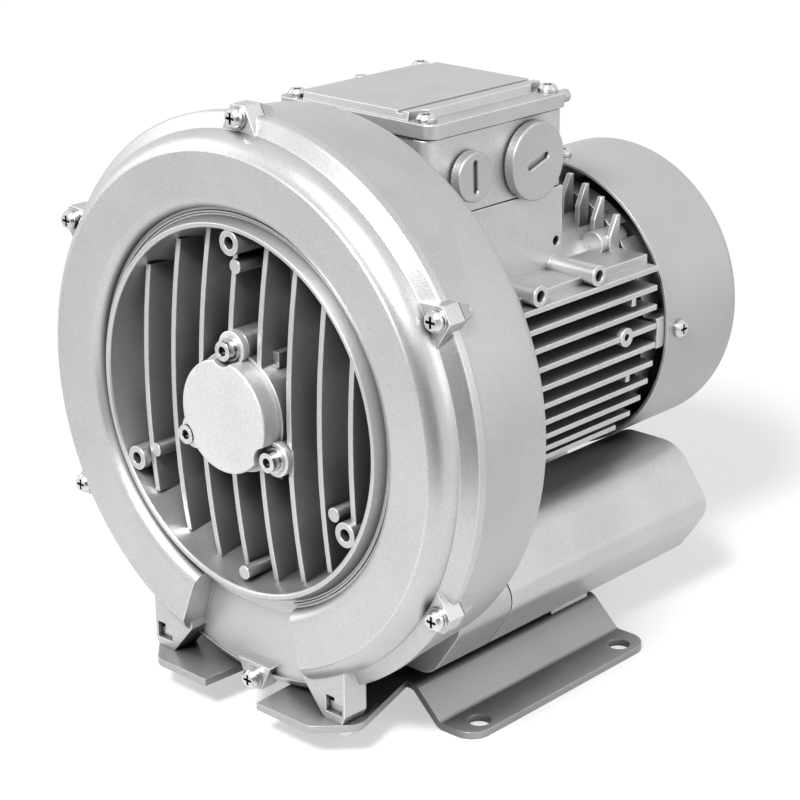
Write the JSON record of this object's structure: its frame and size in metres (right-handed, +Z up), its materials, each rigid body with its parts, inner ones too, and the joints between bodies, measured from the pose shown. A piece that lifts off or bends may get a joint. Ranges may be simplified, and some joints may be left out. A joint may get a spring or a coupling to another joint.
{
  "type": "side channel blower",
  "caption": "Compact side channel blower with finned electric motor, round die-cast casing, twin silencers under the motor and a bolt-down sheet base.",
  "frame": {"origin": "centre of the four base holes, on the underside of the base plate", "axes": "+Z up; +Y along the shaft from the front cover towards the fan cowl; +X to the right seen from the front cover, on the cable-entry side"},
  "size_m": [0.2286, 0.2481, 0.2489],
  "materials": {
    "cast_aluminium": "fine-blasted raw die casting, satin",
    "painted_sheet": "silver-grey paint on pressed steel sheet",
    "zinc_steel": "bright zinc plate",
    "plug_alloy": "silver-grey finish on a screwed plug",
    "rubber_seal": "black nitrile",
    "turned_steel": "turned and ground",
    "bearing_steel": "ground and polished",
    "impeller_alloy": "raw die casting with turned faces",
    "electrical_steel": "stacked laminations",
    "winding_copper": "enamelled winding with varnish",
    "fan_plastic": "moulded polyamide",
    "terminal_plastic": "moulded phenolic",
    "terminal_brass": "bare brass",
    "absorber_foam": "open-cell foam",
    "perforated_sheet": "galvanised perforated sheet"
  },
  "bodies": {
    "housing": {"front_cover": "cast_aluminium", "rear_casing": "cast_aluminium", "motor_housing": "cast_aluminium", "rear_end_shield": "cast_aluminium", "terminal_box": "cast_aluminium", "terminal_lid": "cast_aluminium", "silencer_body": "cast_aluminium", "inlet_flange": "cast_aluminium", "outlet_flange": "cast_aluminium", "bearing_cap": "cast_aluminium", "base_plate": "painted_sheet", "fan_cowl": "painted_sheet", "bearing_cap_screws": "zinc_steel", "bearing_cap_washers": "zinc_steel", "cover_screws": "zinc_steel", "cover_washers": "zinc_steel", "motor_flange_screws": "zinc_steel", "foot_bolts": "zinc_steel", "foot_nuts": "zinc_steel", "end_shield_screws": "zinc_steel", "cowl_screws": "zinc_steel", "lid_screws": "zinc_steel", "box_screws": "zinc_steel", "silencer_screws": "zinc_steel", "silencer_bolts": "zinc_steel", "port_screws": "zinc_steel", "large_plug": "plug_alloy", "small_plug": "plug_alloy", "shaft_seal": "rubber_seal", "box_gasket": "rubber_seal", "lid_gasket": "rubber_seal", "plug_seals": "rubber_seal", "silencer_gaskets": "rubber_seal", "wave_spring": "turned_steel", "front_bearing_outer": "bearing_steel", "rear_bearing_outer": "bearing_steel", "stator_core": "electrical_steel", "stator_windings": "winding_copper", "terminal_block": "terminal_plastic", "terminal_studs": "terminal_brass", "earth_screw": "terminal_brass", "inlet_foam": "absorber_foam", "outlet_foam": "absorber_foam", "inlet_core": "perforated_sheet", "outlet_core": "perforated_sheet"},
    "rotor": {"shaft": "turned_steel", "impeller": "impeller_alloy", "impeller_washer": "zinc_steel", "impeller_clip": "turned_steel", "impeller_key": "turned_steel", "rotor_core": "electrical_steel", "rotor_end_rings": "impeller_alloy", "front_bearing_inner": "bearing_steel", "front_bearing_balls": "bearing_steel", "rear_bearing_inner": "bearing_steel", "rear_bearing_balls": "bearing_steel", "cooling_fan": "fan_plastic", "fan_clip": "turned_steel"}
  },
  "joints": [
    {"name": "rotor_spin", "type": "hinge", "parent": "housing", "child": "rotor", "pos_m": [0, 0, 0.1305], "axis": [0, 1, 0], "continuous": true}
  ]
}
